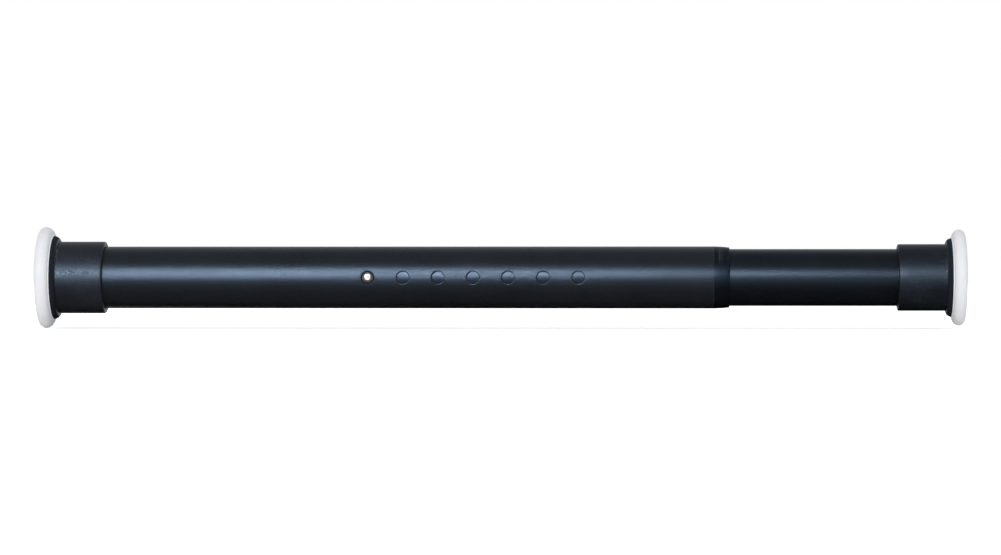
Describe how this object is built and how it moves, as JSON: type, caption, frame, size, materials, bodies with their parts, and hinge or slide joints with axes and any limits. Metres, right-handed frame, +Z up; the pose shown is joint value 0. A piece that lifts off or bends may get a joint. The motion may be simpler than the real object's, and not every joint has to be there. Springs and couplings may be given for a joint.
{
  "type": "spring tension rod",
  "caption": "Telescopic tension rod: black tubes, one sliding in the other, that lock with a snap button, and a sprung end; round white rubber pads grip the walls.",
  "frame": {"origin": "centre of the left pad's wall face", "axes": "+X along the rod to the right pad, -Y out of the face that the lock button stands in, +Z up"},
  "size_m": [0.4768, 0.0522, 0.0522],
  "materials": {
    "black_powder_coat": "fine textured black powder coat, semi-matt",
    "black_powder_coat_inner": "fine textured black powder coat",
    "black_bush": "smooth black moulding, satin gloss",
    "black_socket": "black rubbery moulding, satin with faint scuffs",
    "white_rubber": "soft white rubber, low gloss",
    "natural_nylon": "natural nylon",
    "grey_seat": "glass filled nylon",
    "zinc_steel": "bright zinc plate",
    "plain_steel": "ground steel",
    "button_steel": "nickel plated, slightly worn",
    "spring_steel": "oiled spring steel",
    "black_rubber": "black rubber"
  },
  "bodies": {
    "outer": {"outer_tube": "black_powder_coat", "tube_collar": "black_bush", "left_socket": "black_socket", "left_pad": "white_rubber", "left_end_plug": "natural_nylon", "left_screw": "zinc_steel", "left_washer": "zinc_steel"},
    "inner": {"inner_tube": "black_powder_coat_inner", "inner_end_plug": "natural_nylon", "button_spring": "spring_steel", "plunger_guide": "natural_nylon", "spring_seat": "grey_seat", "seat_pins": "plain_steel", "compression_spring": "spring_steel"},
    "button": {"lock_button": "button_steel"},
    "plunger": {"spring_washer": "zinc_steel", "retaining_clips": "spring_steel", "stop_ring": "black_rubber", "stop_washer": "zinc_steel", "plunger_rod": "plain_steel", "right_socket": "black_socket", "right_pad": "white_rubber", "plunger_washer": "zinc_steel", "plunger_nut": "zinc_steel"}
  },
  "joints": [
    {"name": "telescope", "type": "slide", "parent": "outer", "child": "inner", "axis": [1, 0, 0], "range_m": [0, 0.108]},
    {"name": "button_press", "type": "slide", "parent": "inner", "child": "button", "axis": [0, 1, 0], "range_m": [0, 0.0022], "stiffness_N_per_m": 800, "springref_m": -0.002, "deforming": ["button_spring"]},
    {"name": "plunger_slide", "type": "slide", "parent": "inner", "child": "plunger", "axis": [1, 0, 0], "range_m": [-0.0185, 0], "stiffness_N_per_m": 1800, "springref_m": 0.016, "deforming": ["compression_spring"]}
  ]
}
